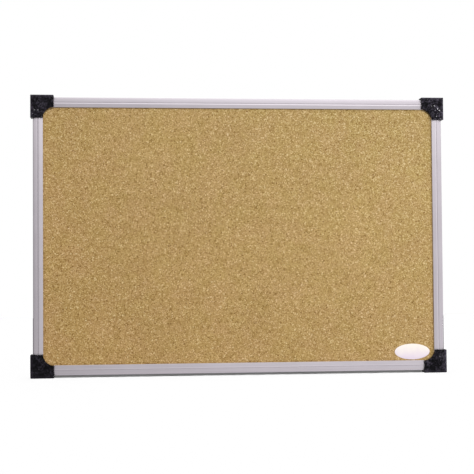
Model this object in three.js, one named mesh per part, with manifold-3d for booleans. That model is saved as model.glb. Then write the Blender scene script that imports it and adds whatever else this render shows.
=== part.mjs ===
// Framed cork pin board, landscape, for hanging on a wall.
// Millimetres, +Z up, front facing -Y, +X to the right. The origin is the centre of the
// wall plane: the backs of the corner caps lie in y = 0 and the board stands forward of it.
import * as THREE from 'three';
import { mergeVertices } from 'three/addons/utils/BufferGeometryUtils.js';
import loadManifold from 'manifold-3d';

// Frame, measured over the outsides of the rails
const frameWidth = 600;
const frameHeight = 400;

// Panel layers, front to back
const corkThickness = 1.5;
const coreThickness = 4.5;
const backingThickness = 0.5;
const panelClearance = 0.3;
const panelEdgeGap = 0.5;
const corkNip = 0.3;
const nipMargin = 0.4;

// Rail section: "inward" runs from the frame's outside towards the panel
const railFaceWidth = 14.5;
const railWall = 1.2;
const chamberWidth = 5.8;
const chamberChamfer = 2.0;
const crownWall = 1.8;
const backLip = 1.0;
const supportLip = 1.0;
const innerLipReach = 4.8;
const beadWidth = 1.0;
const frontLip = 2.8;
const noseThickness = 2.0;
const noseRound = 0.6;
const grooveInward = 7.1;
const grooveWidth = 0.6;
const grooveDepth = 0.4;
const bevelStep = 0.1;
const crownHeight = 2.6;
const crownShoulder = 1.1;
const crownLead = 1.6;
const crownTilt = 0.8;

// Corner caps
const capProud = 3.5;
const capReach = 29.5;
const capFrontPlate = 1.2;
const capClearance = 0.25;
const capWebWall = 1.0;
const capEdgeRound = 2.0;
const capEndChamfer = 0.3;
const capCornerRound = 1.2;
const railEndGap = 1.5;
const tonguePast = 14;
const tongueClearance = 0.3;
const tongueLeadIn = 4.0;
const tongueTaper = 0.9;
const tongueCoreCount = 2;
const tongueCoreWall = 1.5;

// Corner screws, countersunk at 90 degrees
const screwHeadRadius = 2.7;
const screwShankRadius = 1.3;
const screwTipCover = 3.5;
const screwRim = 0.2;
const screwSink = 0.2;
const screwTip = 2.0;
const screwSeatClearance = 0.25;
const screwRailClearance = 0.5;
const screwBossWall = 2.0;
const recessLength = 2.8;
const recessWidth = 0.7;
const recessDepth = 1.1;
const screwSides = 18;

// Sliding wall hangers, folded from sheet
const hangerSheet = 0.9;
const hangerWidth = 32;
const hangerInset = 100;
const hangerSlideClearance = 0.25;
const hangerHookClearance = 0.3;
const hangerCornerRound = 4.0;
const hangerMargin = 5.0;
const joggleGap = 1.0;
const joggleRun = 3.5;
const wallStandoff = 0.4;
const keyholeRadius = 5.0;
const keyholeNeckRadius = 2.5;
const keyholeRise = 7.0;
const keyholeTopMargin = 1.0;

// Oval label on the cork
const labelWidth = 52.5;
const labelHeight = 23;
const labelThickness = 0.3;
const labelSideMargin = 6.5;
const labelFootMargin = 1.3;

// Curve fineness and how far a cutting tool runs past the face that it cuts
const sectionSteps = 8;
const arcSteps = 8;
const ovalSteps = 48;
const holeSides = 24;
const toolOverrun = 2.0;

// Depths from the wall plane towards the front. The cap's back plate is as thick as a
// screw head is deep, the slot takes the hanger's hem with its clearance, and the front lips
// press the cork's border in.
const screwHeadDepth = screwSink + screwRim + screwHeadRadius - screwShankRadius;
const capBackPlate = screwHeadDepth;
const railBack = capBackPlate + capClearance;
const slotBack = railBack + backLip;
const slotFront = slotBack + 2 * hangerSheet + 2 * hangerSlideClearance;
const beadFront = slotFront - hangerSheet - 2 * hangerSlideClearance;
const channelBack = slotFront + supportLip;
const backingBack = channelBack + panelClearance;
const coreBack = backingBack + backingThickness;
const corkBack = coreBack + coreThickness;
const corkFront = corkBack + corkThickness;
const nipFront = corkFront - corkNip;
const channelFront = nipFront + panelClearance;
const railFront = channelFront + frontLip;
const chamberBack = railBack + railWall;
const chamberFront = railFront - crownWall;
const capPlateBack = railFront + capClearance;
const boardDepth = capPlateBack + capFrontPlate;

// Distances inward from the outside of a rail
const chamberInner = railWall + chamberWidth;
const webInner = chamberInner + railWall;
const innerLipEnd = webInner + innerLipReach;
const panelEdge = webInner + panelEdgeGap;
const railInnerReach = Math.max(railFaceWidth, innerLipEnd);
const railEnd = railInnerReach + railEndGap;
const screwInward = railWall + chamberWidth / 2;
const screwAlong = (railEnd + capReach) / 2;
const tongueEnd = capReach + tonguePast;
const capHollow = capReach - railFaceWidth;
const screwTipEnd = chamberFront - tongueClearance - screwTipCover;
const hangerOffset = frameWidth / 2 - hangerInset;

const wasm = await loadManifold();
wasm.setup();

// Solids for joining and cutting

function toSolid(geometry) {
  const bare = geometry.clone();
  bare.deleteAttribute('normal');
  bare.deleteAttribute('uv');
  const merged = mergeVertices(bare);
  const mesh = new wasm.Mesh({
    numProp: 3,
    vertProperties: new Float32Array(merged.attributes.position.array),
    triVerts: new Uint32Array(merged.index.array),
  });
  return new wasm.Manifold(mesh);
}

function toGeometry(solid) {
  const { vertProperties, triVerts } = solid.getMesh();
  const geometry = new THREE.BufferGeometry();
  geometry.setAttribute('position', new THREE.BufferAttribute(vertProperties, 3));
  geometry.setIndex(new THREE.BufferAttribute(triVerts, 1));
  geometry.computeVertexNormals();
  return geometry;
}

// Extrusions. A section holds (inward, depth) and runs along a side; an outline holds (x, z)
// and runs through the depth of the board.

function extrude(shape, length, curveSegments) {
  return new THREE.ExtrudeGeometry(shape, { depth: length, bevelEnabled: false, curveSegments });
}

function alongX(section, start, end) {
  const turn = new THREE.Matrix4().makeBasis(
    new THREE.Vector3(0, 0, 1),
    new THREE.Vector3(0, -1, 0),
    new THREE.Vector3(1, 0, 0),
  );
  return extrude(section, end - start, sectionSteps).applyMatrix4(turn).translate(start, 0, 0);
}

function alongZ(section, start, end) {
  const turn = new THREE.Matrix4().makeBasis(
    new THREE.Vector3(1, 0, 0),
    new THREE.Vector3(0, -1, 0),
    new THREE.Vector3(0, 0, -1),
  );
  return extrude(section, end - start, sectionSteps).applyMatrix4(turn).translate(0, 0, end);
}

function throughDepth(outline, back, front, curveSegments = arcSteps) {
  return extrude(outline, front - back, curveSegments).rotateX(Math.PI / 2).translate(0, -back, 0);
}

// A box from its low and high limits: x, then depth from the wall, then z. The corners take
// the limits themselves, so boxes that share a plane share it exactly.
function box([x0, x1], [back, front], [z0, z1]) {
  const geometry = new THREE.BoxGeometry(2, 2, 2);
  const place = geometry.attributes.position;
  for (let index = 0; index < place.count; index += 1) {
    const x = place.getX(index) > 0 ? x1 : x0;
    const y = place.getY(index) > 0 ? -back : -front;
    const z = place.getZ(index) > 0 ? z1 : z0;
    place.setXYZ(index, x, y, z);
  }
  return geometry;
}

function roundHole(radius, back, front, x, z) {
  const geometry = new THREE.CylinderGeometry(radius, radius, front - back, holeSides);
  return geometry.translate(x, -(back + front) / 2, z);
}

// Rails

function chamberSection(PathType, clearance) {
  const outer = railWall + clearance;
  const inner = chamberInner - clearance;
  const back = chamberBack + clearance;
  const front = chamberFront - clearance;
  const path = new PathType();
  path.moveTo(outer, back);
  path.lineTo(inner, back);
  path.lineTo(inner, front);
  path.lineTo(outer + chamberChamfer, front);
  path.lineTo(outer, front - chamberChamfer);
  path.closePath();
  return path;
}

function railSection() {
  const noseFront = channelFront + noseThickness;
  const beadBack = innerLipEnd - beadWidth;
  const section = new THREE.Shape();
  section.moveTo(0, railBack);
  // Back lip with the bead that keeps the hangers in the slot
  section.lineTo(innerLipEnd, railBack);
  section.lineTo(innerLipEnd, beadFront);
  section.lineTo(beadBack, beadFront);
  section.lineTo(beadBack, slotBack);
  section.lineTo(webInner, slotBack);
  section.lineTo(webInner, slotFront);
  // Lip behind the panel, then the panel channel
  section.lineTo(innerLipEnd, slotFront);
  section.lineTo(innerLipEnd, channelBack);
  section.lineTo(webInner, channelBack);
  section.lineTo(webInner, channelFront);
  // Front lip: rounded nose, inward bevel and the fine groove at the ridge
  section.lineTo(railFaceWidth, channelFront);
  section.lineTo(railFaceWidth, noseFront - noseRound);
  section.quadraticCurveTo(railFaceWidth, noseFront, railFaceWidth - noseRound, noseFront);
  section.lineTo(grooveInward + grooveWidth, railFront - bevelStep);
  section.lineTo(grooveInward + grooveWidth / 2, railFront - grooveDepth);
  section.lineTo(grooveInward, railFront);
  // Tilted outer band, rounded over to the outside wall
  const shoulder = railFront - crownShoulder;
  section.bezierCurveTo(crownLead, railFront - crownTilt, 0, shoulder, 0, railFront - crownHeight);
  section.closePath();
  section.holes.push(chamberSection(THREE.Path, 0));
  return section;
}

function railGeometry(sideLength) {
  const half = sideLength / 2 - railEnd;
  let rail = toSolid(alongX(railSection(), -half, half));
  for (const end of [-1, 1]) {
    const holeX = end * (sideLength / 2 - screwAlong);
    const radius = screwShankRadius + screwRailClearance;
    const back = railBack - toolOverrun;
    const front = chamberBack + railWall;
    rail = rail.subtract(toSolid(roundHole(radius, back, front, holeX, screwInward)));
  }
  return toGeometry(rail);
}

// Corner screws

function screwProfile(clearance, headBack) {
  const head = screwHeadRadius + clearance;
  const shank = screwShankRadius + clearance;
  const rimFront = screwSink + screwRim;
  const coneFront = rimFront + head - shank;
  const tipEnd = screwTipEnd + clearance;
  return [
    new THREE.Vector2(0, -tipEnd),
    new THREE.Vector2(shank, -(tipEnd - screwTip)),
    new THREE.Vector2(shank, -coneFront),
    new THREE.Vector2(head, -rimFront),
    new THREE.Vector2(head, -headBack),
    new THREE.Vector2(0, -headBack),
  ];
}

function screwGeometry() {
  let screw = toSolid(new THREE.LatheGeometry(screwProfile(0, screwSink), screwSides));
  const long = [-recessLength / 2, recessLength / 2];
  const wide = [-recessWidth / 2, recessWidth / 2];
  const deep = [screwSink - toolOverrun, screwSink + recessDepth];
  screw = screw.subtract(toSolid(box(long, deep, wide)));
  screw = screw.subtract(toSolid(box(wide, deep, long)));
  return toGeometry(screw);
}

function screwSeat(x, z) {
  const profile = screwProfile(screwSeatClearance, -toolOverrun);
  return new THREE.LatheGeometry(profile, screwSides).translate(x, 0, z);
}

// Corner caps, modelled for the lower left corner: the rails' outsides meet at x = z = 0

function capOutline() {
  const outline = new THREE.Shape();
  outline.moveTo(-capProud + capCornerRound, -capProud);
  outline.lineTo(capReach - capEndChamfer, -capProud);
  outline.lineTo(capReach, -capProud + capEndChamfer);
  outline.lineTo(capReach, railFaceWidth);
  outline.absarc(capReach, capReach, capHollow, -Math.PI / 2, -Math.PI, true);
  outline.lineTo(-capProud + capEndChamfer, capReach);
  outline.lineTo(-capProud, capReach - capEndChamfer);
  outline.lineTo(-capProud, -capProud + capCornerRound);
  outline.quadraticCurveTo(-capProud, -capProud, -capProud + capCornerRound, -capProud);
  return outline;
}

function capSideSection() {
  const section = new THREE.Shape();
  section.moveTo(-capProud, 0);
  section.lineTo(capReach, 0);
  section.lineTo(capReach, boardDepth);
  section.lineTo(-capProud + capEdgeRound, boardDepth);
  const middle = boardDepth - capEdgeRound;
  section.absarc(-capProud + capEdgeRound, middle, capEdgeRound, Math.PI / 2, Math.PI, false);
  section.closePath();
  return section;
}

function capShell() {
  const outline = throughDepth(capOutline(), 0, boardDepth);
  const across = toSolid(alongX(capSideSection(), -capProud, capReach));
  const upright = toSolid(alongZ(capSideSection(), -capProud, capReach));
  let shell = toSolid(outline).intersect(across).intersect(upright);

  // Sleeves for the two rail ends, the panel's corner and the open space behind the panel. The
  // web beside a sleeve stops where the concave edge leaves it thin.
  const blockFace = railEnd - capClearance;
  const past = capReach + toolOverrun;
  const sleeveInner = railInnerReach + capClearance;
  const webEnd = capReach - Math.sqrt(capHollow ** 2 - (capReach - sleeveInner - capWebWall) ** 2);
  const sleeve = [-capClearance, sleeveInner];
  const sleeveDepth = [capBackPlate, capPlateBack];
  const panel = [panelEdge - panelClearance, past];
  const panelDepth = [channelBack, channelFront];
  const open = [railInnerReach - capClearance, past];
  const cuts = [
    box([blockFace, past], sleeveDepth, sleeve),
    box(sleeve, sleeveDepth, [blockFace, past]),
    box([webEnd, past], sleeveDepth, open),
    box(open, sleeveDepth, [webEnd, past]),
    box(panel, panelDepth, panel),
    box(open, [capBackPlate, channelFront], open),
  ];
  for (const cut of cuts) {
    shell = shell.subtract(toSolid(cut));
  }
  return shell;
}

// Plan of a tongue lying along X: straight sides, then a lead-in taper at the tip
function tonguePlan(start, end) {
  const outer = railWall + tongueClearance;
  const inner = chamberInner - tongueClearance;
  const plan = new THREE.Shape();
  plan.moveTo(start, outer);
  plan.lineTo(end - tongueLeadIn, outer);
  plan.lineTo(end, outer + tongueTaper);
  plan.lineTo(end, inner - tongueTaper);
  plan.lineTo(end - tongueLeadIn, inner);
  plan.lineTo(start, inner);
  plan.closePath();
  return plan;
}

// A tongue along X that starts inside the corner block, with moulding cores past the screw boss
function tongueAlongX() {
  const start = panelEdge - panelClearance - railWall;
  const tip = toSolid(throughDepth(tonguePlan(start, tongueEnd), chamberBack, chamberFront));
  const bar = toSolid(alongX(chamberSection(THREE.Shape, tongueClearance), start, tongueEnd));
  let tongue = bar.intersect(tip);

  const firstCore = screwAlong + screwShankRadius + screwBossWall;
  const lastCore = tongueEnd - tongueLeadIn;
  const pitch = (lastCore - firstCore + tongueCoreWall) / tongueCoreCount;
  const coreDepth = [
    chamberBack + tongueClearance + tongueCoreWall,
    chamberFront - tongueClearance - chamberChamfer,
  ];
  const coreInward = [railWall + tongueClearance + tongueCoreWall, chamberInner];
  for (let index = 0; index < tongueCoreCount; index += 1) {
    const from = firstCore + index * pitch;
    const core = box([from, from + pitch - tongueCoreWall], coreDepth, coreInward);
    tongue = tongue.subtract(toSolid(core));
  }
  return tongue;
}

// The same solid with x and z exchanged, for the cap's other arm
function acrossDiagonal(solid) {
  const geometry = toGeometry(solid);
  const swap = new THREE.Matrix4().makeBasis(
    new THREE.Vector3(0, 0, 1),
    new THREE.Vector3(0, 1, 0),
    new THREE.Vector3(1, 0, 0),
  );
  geometry.applyMatrix4(swap);
  const corners = geometry.index.array;
  for (let first = 0; first < corners.length; first += 3) {
    const held = corners[first];
    corners[first] = corners[first + 1];
    corners[first + 1] = held;
  }
  return toSolid(geometry);
}

function capGeometry() {
  const tongue = tongueAlongX();
  let cap = capShell().add(tongue).add(acrossDiagonal(tongue));
  cap = cap.subtract(toSolid(screwSeat(screwAlong, screwInward)));
  cap = cap.subtract(toSolid(screwSeat(screwInward, screwAlong)));
  return toGeometry(cap);
}

// Wall hangers, modelled on the top rail: "inward" runs down from the rail's outside

const headTop = webInner + hangerHookClearance;
const hookEnd = innerLipEnd - beadWidth - hangerHookClearance;
const joggleStart = innerLipEnd + joggleGap;
const joggleEnd = joggleStart + joggleRun;
const keyholeCentre = joggleEnd + keyholeTopMargin + keyholeNeckRadius + keyholeRise;
const hangerEnd = keyholeCentre + keyholeRadius + hangerMargin;

// Bent strip seen from its side: hemmed head in the slot, joggle, then the plate at the wall
function hangerSection() {
  const headBack = slotBack + hangerSlideClearance;
  const headFront = slotFront - hangerSlideClearance;
  const neckBack = headFront - hangerSheet;
  const plateFront = wallStandoff + hangerSheet;
  const section = new THREE.Shape();
  section.moveTo(headTop, headBack);
  section.lineTo(hookEnd, headBack);
  section.lineTo(hookEnd, neckBack);
  section.lineTo(joggleStart, neckBack);
  section.lineTo(joggleEnd, wallStandoff);
  section.lineTo(hangerEnd, wallStandoff);
  section.lineTo(hangerEnd, plateFront);
  section.lineTo(joggleEnd + hangerSheet / 2, plateFront);
  section.lineTo(joggleStart + hangerSheet / 2, headFront);
  section.lineTo(headTop, headFront);
  section.closePath();
  return section;
}

// Plate seen from the wall: square at the head, round corners below, keyhole with its neck up
function hangerOutline() {
  const half = hangerWidth / 2;
  const straight = hangerEnd - hangerCornerRound;
  const turn = half - hangerCornerRound;
  const outline = new THREE.Shape();
  outline.moveTo(-half, headTop);
  outline.lineTo(half, headTop);
  outline.lineTo(half, straight);
  outline.absarc(turn, straight, hangerCornerRound, 0, Math.PI / 2, false);
  outline.absarc(-turn, straight, hangerCornerRound, Math.PI / 2, Math.PI, false);
  outline.closePath();

  const neckTop = keyholeCentre - keyholeRise;
  const side = Math.asin(keyholeNeckRadius / keyholeRadius);
  const keyhole = new THREE.Path();
  keyhole.absarc(0, neckTop, keyholeNeckRadius, 0, Math.PI, true);
  keyhole.absarc(0, keyholeCentre, keyholeRadius, -Math.PI / 2 - side, -Math.PI / 2 + side, true);
  keyhole.closePath();
  outline.holes.push(keyhole);
  return outline;
}

function hangerGeometry() {
  const strip = toSolid(alongX(hangerSection(), -hangerWidth / 2, hangerWidth / 2));
  return toGeometry(strip.intersect(toSolid(throughDepth(hangerOutline(), 0, boardDepth))));
}

// Panel layers and label

function layerGeometry(back, front) {
  const halfWidth = frameWidth / 2 - panelEdge;
  const halfHeight = frameHeight / 2 - panelEdge;
  return box([-halfWidth, halfWidth], [back, front], [-halfHeight, halfHeight]);
}

// The cork that shows between the rails, with corners that follow the caps
function corkField() {
  const round = capHollow - nipMargin;
  const corners = [[-1, -1], [1, -1], [1, 1], [-1, 1]];
  const points = corners.flatMap(([x, z], index) => {
    const centreX = x * (frameWidth / 2 - capReach);
    const centreZ = z * (frameHeight / 2 - capReach);
    const from = Math.PI + (index * Math.PI) / 2;
    const bend = new THREE.EllipseCurve(centreX, centreZ, round, round, from, from + Math.PI / 2);
    return bend.getPoints(arcSteps);
  });
  return new THREE.Shape(points);
}

function corkGeometry() {
  const sheet = toSolid(layerGeometry(corkBack, nipFront));
  return toGeometry(sheet.add(toSolid(throughDepth(corkField(), corkBack, corkFront))));
}

function labelGeometry() {
  const oval = new THREE.Shape();
  oval.absellipse(0, 0, labelWidth / 2, labelHeight / 2, 0, 2 * Math.PI, false, 0);
  const x = frameWidth / 2 - railFaceWidth - labelSideMargin - labelWidth / 2;
  const z = -frameHeight / 2 + railFaceWidth + labelFootMargin + labelHeight / 2;
  return throughDepth(oval, corkFront, corkFront + labelThickness, ovalSteps).translate(x, 0, z);
}

// Finishes

const finishes = {
  aluminium: { color: 0xb9b6bd, roughness: 0.42, metalness: 0.9 },
  blackPlastic: { color: 0x17171a, roughness: 0.48, metalness: 0.0 },
  cork: { color: 0xb49667, roughness: 0.95, metalness: 0.0 },
  fibreboard: { color: 0x9a8462, roughness: 0.95, metalness: 0.0 },
  greyboard: { color: 0x9b958b, roughness: 0.9, metalness: 0.0 },
  glossWhite: { color: 0xf3f1f3, roughness: 0.25, metalness: 0.0 },
  zincSteel: { color: 0xa9adb1, roughness: 0.38, metalness: 1.0 },
};

function piece(name, geometry, finish) {
  const mesh = new THREE.Mesh(geometry, new THREE.MeshStandardMaterial(finishes[finish]));
  mesh.name = name;
  return mesh;
}

// Assembly

const board = new THREE.Group();
board.add(piece('cork_sheet', corkGeometry(), 'cork'));
board.add(piece('core_board', layerGeometry(coreBack, corkBack), 'fibreboard'));
board.add(piece('backing_sheet', layerGeometry(backingBack, coreBack), 'greyboard'));
board.add(piece('label', labelGeometry(), 'glossWhite'));

// Each side is a group turned about the board's centre, with the rail at its outer edge
const quarter = Math.PI / 2;
const sides = [
  { name: 'bottom', turns: 0, along: frameWidth, across: frameHeight },
  { name: 'left', turns: 1, along: frameHeight, across: frameWidth },
  { name: 'top', turns: 2, along: frameWidth, across: frameHeight },
  { name: 'right', turns: 3, along: frameHeight, across: frameWidth },
];
for (const { name, turns, along, across } of sides) {
  const side = new THREE.Group();
  side.rotation.y = turns * quarter;
  const rail = piece(`rail_${name}`, railGeometry(along), 'aluminium');
  rail.position.z = -across / 2;
  side.add(rail);
  if (name === 'top') {
    // The top group is turned half round, so its own +X points to the board's left
    for (const [hand, direction] of [['left', 1], ['right', -1]]) {
      const hanger = piece(`hanger_${hand}`, hangerGeometry(), 'zincSteel');
      hanger.position.set(direction * hangerOffset, 0, -across / 2);
      side.add(hanger);
    }
  }
  board.add(side);
}

const corners = [
  { name: 'bottom_left', turns: 0, x: -1, z: -1 },
  { name: 'top_left', turns: 1, x: -1, z: 1 },
  { name: 'top_right', turns: 2, x: 1, z: 1 },
  { name: 'bottom_right', turns: 3, x: 1, z: -1 },
];
for (const { name, turns, x, z } of corners) {
  const corner = new THREE.Group();
  corner.position.set((x * frameWidth) / 2, 0, (z * frameHeight) / 2);
  corner.rotation.y = turns * quarter;
  corner.add(piece(`corner_cap_${name}`, capGeometry(), 'blackPlastic'));
  const places = [[screwAlong, screwInward], [screwInward, screwAlong]];
  places.forEach(([along, inward], index) => {
    const screw = piece(`corner_screw_${name}_${index + 1}`, screwGeometry(), 'zincSteel');
    screw.position.set(along, 0, inward);
    corner.add(screw);
  });
  board.add(corner);
}

export default board;
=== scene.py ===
"""Looks of a framed cork pin board: cork face, aluminium rails, black corner caps, hangers.

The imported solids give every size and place. This script adds the finishes, the fine relief of
the cork, the softened edges and a plain studio. Lengths are metres unless a name says other.
"""

import logging
import math
from abc import ABC, abstractmethod
from dataclasses import astuple, dataclass, replace
from enum import Enum
from functools import cached_property, partialmethod, reduce

import bmesh
import bpy
import numpy as np
from mathutils import Matrix, Vector


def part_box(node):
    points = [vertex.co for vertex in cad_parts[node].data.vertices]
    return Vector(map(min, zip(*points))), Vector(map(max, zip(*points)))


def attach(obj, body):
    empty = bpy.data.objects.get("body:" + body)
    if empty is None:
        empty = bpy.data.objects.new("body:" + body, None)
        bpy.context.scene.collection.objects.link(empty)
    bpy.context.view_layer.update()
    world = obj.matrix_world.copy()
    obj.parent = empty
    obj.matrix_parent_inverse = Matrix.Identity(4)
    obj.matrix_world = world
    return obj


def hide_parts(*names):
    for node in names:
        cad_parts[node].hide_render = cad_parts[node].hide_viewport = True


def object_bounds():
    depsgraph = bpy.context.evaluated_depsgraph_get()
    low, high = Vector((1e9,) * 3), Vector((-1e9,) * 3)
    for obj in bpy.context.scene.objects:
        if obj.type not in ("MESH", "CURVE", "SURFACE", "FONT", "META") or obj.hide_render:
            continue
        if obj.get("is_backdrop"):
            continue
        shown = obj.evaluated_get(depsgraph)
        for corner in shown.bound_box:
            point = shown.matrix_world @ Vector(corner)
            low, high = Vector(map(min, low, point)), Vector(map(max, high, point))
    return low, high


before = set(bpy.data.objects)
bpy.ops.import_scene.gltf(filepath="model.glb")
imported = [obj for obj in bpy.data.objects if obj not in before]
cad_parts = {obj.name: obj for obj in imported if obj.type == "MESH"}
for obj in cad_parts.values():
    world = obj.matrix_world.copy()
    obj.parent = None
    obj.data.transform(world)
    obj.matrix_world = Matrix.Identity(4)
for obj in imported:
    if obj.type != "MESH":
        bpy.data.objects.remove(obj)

LOG = logging.getLogger("pin_board")
BOARD = "board"
MM = 0.001

# Wear of each corner cap, from 0 as it was moulded to 1.
WEAR = {"top_left": 0.46, "top_right": 0.85, "bottom_left": 0.0, "bottom_right": 0.44}

Colour = tuple[float, float, float, float]
Triple = tuple[float, float, float]
Stops = tuple[tuple[float, Colour], ...]
Socket = bpy.types.NodeSocket
Input = Socket | float
Value = Input | Triple | Colour

WHITE: Colour = (1.0, 1.0, 1.0, 1.0)
CENTRE: Triple = (0.0, 0.0, 0.0)
RIGHT: Triple = (1.0, 0.0, 0.0)
UP: Triple = (0.0, 0.0, 1.0)

# The curve of a screen: a straight foot, and a lifted power above it.
FULL_LEVEL = 255
FOOT_END = 0.04045
FOOT_SLOPE = 12.92
CURVE_LIFT = 0.055
CURVE_POWER = 2.4

# The Mix node's sockets for colours, which share their names with others.
MIX_UNDER, MIX_OVER, MIX_RESULT = 6, 7, 2


def linear(level: int) -> float:
    """Undo the screen's curve for one channel.

    Args:
        level: The channel on a screen, from 0 to 255.

    Returns:
        Its share of full light.
    """
    share = level / FULL_LEVEL
    if share <= FOOT_END:
        return share / FOOT_SLOPE
    return ((share + CURVE_LIFT) / (1 + CURVE_LIFT)) ** CURVE_POWER


def tone(red: int, green: int, blue: int) -> Colour:
    """Turn a screen colour, in levels from 0 to 255, into the linear colour that shaders use."""
    return (linear(red), linear(green), linear(blue), 1.0)


class Run(Enum):
    """Direction in which a rail was drawn through its die."""

    ACROSS = "across"
    UPRIGHT = "upright"

    def sizes(self, along: float, fine: float) -> Triple:
        """Give texture sizes in x, y and z, one along the rail and a fine one across it."""
        return (along, fine, fine) if self is Run.ACROSS else (fine, fine, along)


class Sum(Enum):
    """What is done with two numbers."""

    PLUS = "ADD"
    MINUS = "SUBTRACT"
    TIMES = "MULTIPLY"
    LEAST = "MINIMUM"
    MOST = "MAXIMUM"
    ABOVE = "GREATER_THAN"
    UNSIGNED = "ABSOLUTE"


class Blend(Enum):
    """How one colour is laid over another."""

    COVER = "MIX"
    TINT = "MULTIPLY"


class CellPart(Enum):
    """What the distances in a cell pattern are measured from."""

    MIDDLE = "F1"
    WALL = "DISTANCE_TO_EDGE"


@dataclass(frozen=True)
class Span:
    """A way to map numbers: low becomes start, high becomes end, and both ends hold."""

    low: float
    high: float
    start: float = 0.0
    end: float = 1.0


@dataclass(frozen=True)
class Lumps:
    """Soft noise: the size of its lumps, its finer octaves and how much those weigh."""

    size: float
    octaves: float = 3.0
    weight: float = 0.55


@dataclass(frozen=True)
class Relief:
    """Bump: the depth that a height of 1 stands for, and how much of it the shading shows."""

    depth: float = 1.0
    strength: float = 1.0


@dataclass(frozen=True)
class Worn:
    """A number that wear changes: what it is on a new piece, and what full wear adds."""

    new: float
    added: float

    def at(self, wear: float) -> float:
        """Give the number at a wear from 0 to 1."""
        return self.new + self.added * wear


class Graph:
    """A node tree, with short calls for the nodes that the finishes and the studio use."""

    def __init__(self, tree: bpy.types.NodeTree) -> None:
        """Work in a tree."""
        self.tree = tree

    def put(self, socket: Socket, value: Value) -> None:
        """Link a socket to another, or set it.

        Args:
            socket: The socket to feed.
            value: The other socket, or what to set.
        """
        if isinstance(value, bpy.types.NodeSocket):
            self.tree.links.new(value, socket)
        else:
            socket.default_value = value

    def feed(self, node: bpy.types.Node, named: dict[str, Value]) -> None:
        """Link or set a node's sockets by name; underscores stand for spaces."""
        for name, value in named.items():
            self.put(node.inputs[name.replace("_", " ")], value)

    def node(self, kind: str, *values: Value, **named: Value) -> bpy.types.Node:
        """Add a shader node and feed its sockets.

        Args:
            kind: The kind of node.
            values: What the first sockets get, in order.
            named: What sockets get by name.

        Returns:
            The node.
        """
        node = self.tree.nodes.new(f"ShaderNode{kind}")
        for socket, value in zip(node.inputs, values):
            self.put(socket, value)
        self.feed(node, named)
        return node

    def stretched(self, place: Socket, sizes: Triple, turn: float = 0.0) -> Socket:
        """Turn a position about y, then measure each axis in a size of its own.

        Args:
            place: The position.
            sizes: The lengths in x, y and z that count as 1.
            turn: The turn, in degrees.

        Returns:
            The stretched position.
        """
        turned = (0.0, math.radians(turn), 0.0)
        node = self.node("Mapping", Vector=place, Scale=sizes, Rotation=turned)
        node.vector_type = "TEXTURE"
        return node.outputs[0]

    def noise(self, place: Socket, lumps: Lumps) -> Socket:
        """Give soft noise from 0 to 1."""
        return self._noise_node(place, lumps).outputs[0]

    def bent(self, place: Socket, size: float, reach: float) -> Socket:
        """Push a position about by noise, so that cell walls bend.

        Args:
            place: The position.
            size: Size of the noise's lumps.
            reach: How far a point may move.

        Returns:
            The moved position.
        """
        noise = self._noise_node(place, Lumps(size, octaves=1.0, weight=0.5))
        moved = self.node("VectorMath", noise.outputs["Color"], (reach, reach, reach), place)
        moved.operation = "MULTIPLY_ADD"
        return moved.outputs[0]

    def cells(self, place: Socket, size: float, part: CellPart = CellPart.MIDDLE) -> bpy.types.Node:
        """Add a cell pattern.

        Args:
            place: The position.
            size: Size of a cell.
            part: What its distances are measured from.

        Returns:
            The node, with Distance and, from the middles, Color.
        """
        node = self.node("TexVoronoi", Vector=place, Scale=1 / size)
        node.feature = part.value
        return node

    def spread(self, value: Socket, span: Span) -> Socket:
        """Map a number by a span."""
        return self.node("MapRange", value, *astuple(span)).outputs[0]

    def ramp(self, value: Socket, stops: Stops) -> Socket:
        """Colour a number by stops.

        Args:
            value: The number, from 0 to 1.
            stops: Where each colour lies.

        Returns:
            The colour.
        """
        node = self.node("ValToRGB", value)
        points = node.color_ramp.elements
        for spare in range(len(stops) - len(points)):
            points.new((spare + 1) / len(stops))
        for point, (where, colour) in zip(points, stops):
            point.position = where
            point.color = colour
        return node.outputs["Color"]

    def shade(self, colour: Socket, level: Socket) -> Socket:
        """Multiply a colour by a number."""
        return self.tint(colour, self.node("CombineColor", level, level, level).outputs[0])

    def _noise_node(self, place: Socket, lumps: Lumps) -> bpy.types.Node:
        """Add soft noise, as a number and as a colour."""
        sockets = {"Scale": 1 / lumps.size, "Detail": lumps.octaves, "Roughness": lumps.weight}
        return self.node("TexNoise", Vector=place, **sockets)

    def _split(self, kind: str, source: Socket) -> tuple[Socket, ...]:
        """Split a socket into three numbers."""
        return tuple(self.node(kind, source).outputs)

    def _sum(self, way: Sum, first: Input, second: Input = 0.0) -> Socket:
        """Do a sum.

        Args:
            way: What is done.
            first: The first number.
            second: The second number, where there is one.

        Returns:
            The result.
        """
        node = self.node("Math", first, second)
        node.operation = way.value
        return node.outputs[0]

    def _blend(self, way: Blend, share: Input, under: Socket | Colour, over: Socket | Colour) -> Socket:
        """Lay one colour over another.

        Args:
            way: How it is laid.
            share: How much of it shows, from 0 to 1.
            under: The colour underneath.
            over: The colour on top.

        Returns:
            The blended colour.
        """
        node = self.node("Mix", share)
        node.data_type = "RGBA"
        node.blend_type = way.value
        self.put(node.inputs[MIX_UNDER], under)
        self.put(node.inputs[MIX_OVER], over)
        return node.outputs[MIX_RESULT]

    # Sums, blends and splits under plain names.
    plus = partialmethod(_sum, Sum.PLUS)
    minus = partialmethod(_sum, Sum.MINUS)
    times = partialmethod(_sum, Sum.TIMES)
    least = partialmethod(_sum, Sum.LEAST)
    most = partialmethod(_sum, Sum.MOST)
    above = partialmethod(_sum, Sum.ABOVE)
    unsigned = partialmethod(_sum, Sum.UNSIGNED)
    cover = partialmethod(_blend, Blend.COVER)
    tint = partialmethod(_blend, Blend.TINT, 1.0)
    channels = partialmethod(_split, "SeparateColor")


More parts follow.
